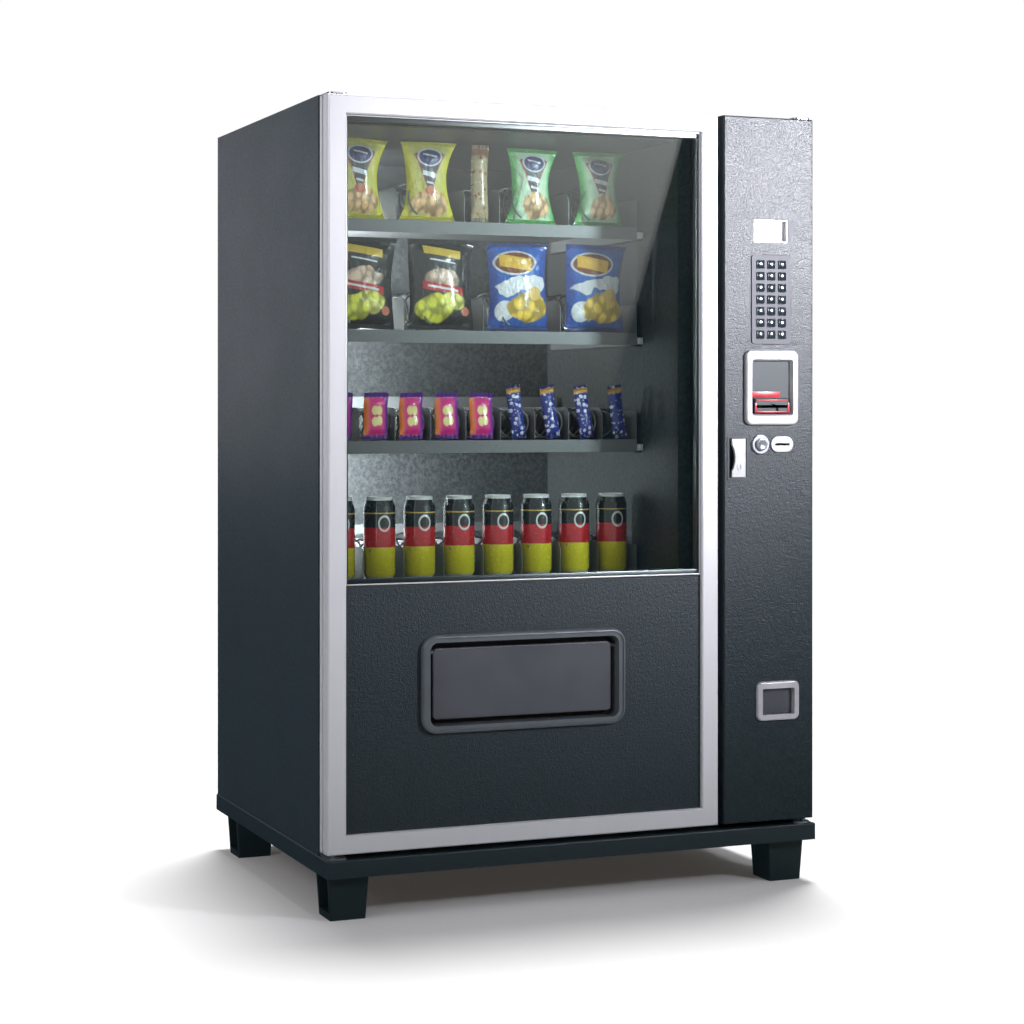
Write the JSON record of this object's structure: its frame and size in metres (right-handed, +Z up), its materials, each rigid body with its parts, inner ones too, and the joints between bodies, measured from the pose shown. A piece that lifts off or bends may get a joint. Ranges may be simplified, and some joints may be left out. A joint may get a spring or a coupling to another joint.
{
  "type": "snack vending machine",
  "caption": "Free-standing snack vending machine: glazed product door, payment column with keypad, sliding trays with spirals, delivery flap and four legs.",
  "frame": {"origin": "on the floor, at the centre of the machine's bounding box", "axes": "+Z up, -Y towards the customer in front of the doors, +X towards the payment column on the machine's right"},
  "size_m": [1.066, 0.823, 1.594],
  "materials": {
    "cabinet_paint": "fine wrinkle powder coat",
    "base_paint": "satin paint",
    "leg_plastic": "moulded, satin",
    "liner_paint": "satin paint on galvanised sheet",
    "hinge_steel": "zinc plated",
    "cooling_metal": "mill finish",
    "fan_plastic": "moulded",
    "frame_aluminium": "satin anodised",
    "door_glass": "clear",
    "panel_paint": "fine wrinkle powder coat",
    "bezel_plastic": "satin moulded",
    "flap_plastic": "satin moulded",
    "bin_steel": "satin paint",
    "gasket_rubber": "soft, matt",
    "payment_paint": "fine wrinkle powder coat",
    "display_plastic": "gloss",
    "keypad_metal": "satin",
    "key_metal": "satin",
    "silver_plastic": "silver lacquer",
    "validator_plastic": "fine spark texture",
    "coin_plate_metal": "satin",
    "button_metal": "polished",
    "mechanism_plastic": "moulded",
    "lock_cup_metal": "satin black",
    "handle_metal": "satin nickel",
    "tray_sheet": "satin grey paint",
    "spiral_wire": "zinc plated wire"
  },
  "bodies": {
    "cabinet": {"base_frame": "base_paint", "legs": "leg_plastic", "cabinet_shell": "cabinet_paint", "rear_panel": "cabinet_paint", "inner_liner": "liner_paint", "door_hinges": "hinge_steel", "cooling_unit": "cooling_metal"},
    "condenser_fan": {"condenser_fan": "fan_plastic"},
    "glass_door": {"door_frame": "frame_aluminium", "door_glass": "door_glass", "lower_panel": "panel_paint", "delivery_bezel": "bezel_plastic", "delivery_bin": "bin_steel", "door_gasket": "gasket_rubber"},
    "delivery_flap": {"delivery_flap": "flap_plastic"},
    "payment_door": {"payment_panel": "payment_paint", "display_window": "display_plastic", "keypad_plate": "keypad_metal", "bill_bezel": "silver_plastic", "bill_validator": "validator_plastic", "coin_trim": "coin_plate_metal", "coin_mechanism": "mechanism_plastic", "lock_housing": "lock_cup_metal", "coin_cup": "silver_plastic"},
    "coin_return_button": {"coin_return_button": "button_metal"},
    "lock_handle": {"lock_handle": "handle_metal"},
    "coin_cup_flap": {"coin_cup_flap": "flap_plastic"},
    "tray_1": {"tray_1": "tray_sheet", "spiral_drives_1": "spiral_wire"},
    "spiral_1": {"spiral_1": "spiral_wire"},
    "tray_2": {"tray_2": "tray_sheet", "spiral_drives_2": "spiral_wire"},
    "spiral_2": {"spiral_2": "spiral_wire"},
    "tray_3": {"tray_3": "tray_sheet", "spiral_drives_3": "spiral_wire"},
    "spiral_3": {"spiral_3": "spiral_wire"},
    "tray_4": {"tray_4": "tray_sheet", "spiral_drives_4": "spiral_wire"},
    "spiral_4": {"spiral_4": "spiral_wire"},
    "key_a": {"key_a": "key_metal"},
    "key_b": {"key_b": "key_metal"},
    "key_c": {"key_c": "key_metal"},
    "key_d": {"key_d": "key_metal"},
    "key_e": {"key_e": "key_metal"},
    "key_f": {"key_f": "key_metal"},
    "key_1": {"key_1": "key_metal"},
    "key_2": {"key_2": "key_metal"},
    "key_3": {"key_3": "key_metal"},
    "key_4": {"key_4": "key_metal"},
    "key_5": {"key_5": "key_metal"},
    "key_6": {"key_6": "key_metal"},
    "key_7": {"key_7": "key_metal"},
    "key_8": {"key_8": "key_metal"},
    "key_9": {"key_9": "key_metal"},
    "key_star": {"key_star": "key_metal"},
    "key_0": {"key_0": "key_metal"},
    "key_hash": {"key_hash": "key_metal"},
    "key_clear": {"key_clear": "key_metal"},
    "key_back": {"key_back": "key_metal"},
    "key_enter": {"key_enter": "key_metal"}
  },
  "joints": [
    {"name": "glass_door_hinge", "type": "hinge", "parent": "cabinet", "child": "glass_door", "pos_m": [-0.515, -0.3845, 0.8], "axis": [0, 0, -1], "range_deg": [0, 110]},
    {"name": "payment_door_hinge", "type": "hinge", "parent": "cabinet", "child": "payment_door", "pos_m": [0.515, -0.3845, 0.8], "axis": [0, 0, 1], "range_deg": [0, 100]},
    {"name": "delivery_flap_hinge", "type": "hinge", "parent": "glass_door", "child": "delivery_flap", "pos_m": [-0.119, -0.379, 0.51], "axis": [1, 0, 0], "range_deg": [0, 75]},
    {"name": "coin_cup_flap_hinge", "type": "hinge", "parent": "payment_door", "child": "coin_cup_flap", "pos_m": [0.4445, -0.394, 0.402], "axis": [1, 0, 0], "range_deg": [0, 80]},
    {"name": "lock_handle_hinge", "type": "hinge", "parent": "payment_door", "child": "lock_handle", "pos_m": [0.368, -0.399, 0.885], "axis": [0, 0, 1], "range_deg": [0, 75]},
    {"name": "coin_return_press", "type": "slide", "parent": "payment_door", "child": "coin_return_button", "axis": [0, 1, 0], "range_m": [0, 0.004], "stiffness_N_per_m": 300},
    {"name": "condenser_fan_spin", "type": "hinge", "parent": "cabinet", "child": "condenser_fan", "pos_m": [0.03, 0.2895, 0.228], "axis": [0, 1, 0], "continuous": true},
    {"name": "tray_1_slide", "type": "slide", "parent": "cabinet", "child": "tray_1", "axis": [0, -1, 0], "range_m": [0, 0.15]},
    {"name": "spiral_1_turn", "type": "hinge", "parent": "tray_1", "child": "spiral_1", "pos_m": [-0.1193, 0.2505, 1.4122], "axis": [0, -1, 0], "continuous": true},
    {"name": "tray_2_slide", "type": "slide", "parent": "cabinet", "child": "tray_2", "axis": [0, -1, 0], "range_m": [0, 0.15]},
    {"name": "spiral_2_turn", "type": "hinge", "parent": "tray_2", "child": "spiral_2", "pos_m": [0.14563, 0.2505, 1.1942], "axis": [0, -1, 0], "continuous": true},
    {"name": "tray_3_slide", "type": "slide", "parent": "cabinet", "child": "tray_3", "axis": [0, -1, 0], "range_m": [0, 0.15]},
    {"name": "spiral_3_turn", "type": "hinge", "parent": "tray_3", "child": "spiral_3", "pos_m": [0.19417, 0.2505, 0.9552], "axis": [0, -1, 0], "continuous": true},
    {"name": "tray_4_slide", "type": "slide", "parent": "cabinet", "child": "tray_4", "axis": [0, -1, 0], "range_m": [0, 0.15]},
    {"name": "spiral_4_turn", "type": "hinge", "parent": "tray_4", "child": "spiral_4", "pos_m": [0.18931, 0.2505, 0.6752], "axis": [0, -1, 0], "continuous": true},
    {"name": "key_a_press", "type": "slide", "parent": "payment_door", "child": "key_a", "axis": [0, 1, 0], "range_m": [0, 0.002], "stiffness_N_per_m": 300},
    {"name": "key_b_press", "type": "slide", "parent": "payment_door", "child": "key_b", "axis": [0, 1, 0], "range_m": [0, 0.002], "stiffness_N_per_m": 300},
    {"name": "key_c_press", "type": "slide", "parent": "payment_door", "child": "key_c", "axis": [0, 1, 0], "range_m": [0, 0.002], "stiffness_N_per_m": 300},
    {"name": "key_d_press", "type": "slide", "parent": "payment_door", "child": "key_d", "axis": [0, 1, 0], "range_m": [0, 0.002], "stiffness_N_per_m": 300},
    {"name": "key_e_press", "type": "slide", "parent": "payment_door", "child": "key_e", "axis": [0, 1, 0], "range_m": [0, 0.002], "stiffness_N_per_m": 300},
    {"name": "key_f_press", "type": "slide", "parent": "payment_door", "child": "key_f", "axis": [0, 1, 0], "range_m": [0, 0.002], "stiffness_N_per_m": 300},
    {"name": "key_1_press", "type": "slide", "parent": "payment_door", "child": "key_1", "axis": [0, 1, 0], "range_m": [0, 0.002], "stiffness_N_per_m": 300},
    {"name": "key_2_press", "type": "slide", "parent": "payment_door", "child": "key_2", "axis": [0, 1, 0], "range_m": [0, 0.002], "stiffness_N_per_m": 300},
    {"name": "key_3_press", "type": "slide", "parent": "payment_door", "child": "key_3", "axis": [0, 1, 0], "range_m": [0, 0.002], "stiffness_N_per_m": 300},
    {"name": "key_4_press", "type": "slide", "parent": "payment_door", "child": "key_4", "axis": [0, 1, 0], "range_m": [0, 0.002], "stiffness_N_per_m": 300},
    {"name": "key_5_press", "type": "slide", "parent": "payment_door", "child": "key_5", "axis": [0, 1, 0], "range_m": [0, 0.002], "stiffness_N_per_m": 300},
    {"name": "key_6_press", "type": "slide", "parent": "payment_door", "child": "key_6", "axis": [0, 1, 0], "range_m": [0, 0.002], "stiffness_N_per_m": 300},
    {"name": "key_7_press", "type": "slide", "parent": "payment_door", "child": "key_7", "axis": [0, 1, 0], "range_m": [0, 0.002], "stiffness_N_per_m": 300},
    {"name": "key_8_press", "type": "slide", "parent": "payment_door", "child": "key_8", "axis": [0, 1, 0], "range_m": [0, 0.002], "stiffness_N_per_m": 300},
    {"name": "key_9_press", "type": "slide", "parent": "payment_door", "child": "key_9", "axis": [0, 1, 0], "range_m": [0, 0.002], "stiffness_N_per_m": 300},
    {"name": "key_star_press", "type": "slide", "parent": "payment_door", "child": "key_star", "axis": [0, 1, 0], "range_m": [0, 0.002], "stiffness_N_per_m": 300},
    {"name": "key_0_press", "type": "slide", "parent": "payment_door", "child": "key_0", "axis": [0, 1, 0], "range_m": [0, 0.002], "stiffness_N_per_m": 300},
    {"name": "key_hash_press", "type": "slide", "parent": "payment_door", "child": "key_hash", "axis": [0, 1, 0], "range_m": [0, 0.002], "stiffness_N_per_m": 300},
    {"name": "key_clear_press", "type": "slide", "parent": "payment_door", "child": "key_clear", "axis": [0, 1, 0], "range_m": [0, 0.002], "stiffness_N_per_m": 300},
    {"name": "key_back_press", "type": "slide", "parent": "payment_door", "child": "key_back", "axis": [0, 1, 0], "range_m": [0, 0.002], "stiffness_N_per_m": 300},
    {"name": "key_enter_press", "type": "slide", "parent": "payment_door", "child": "key_enter", "axis": [0, 1, 0], "range_m": [0, 0.002], "stiffness_N_per_m": 300}
  ]
}
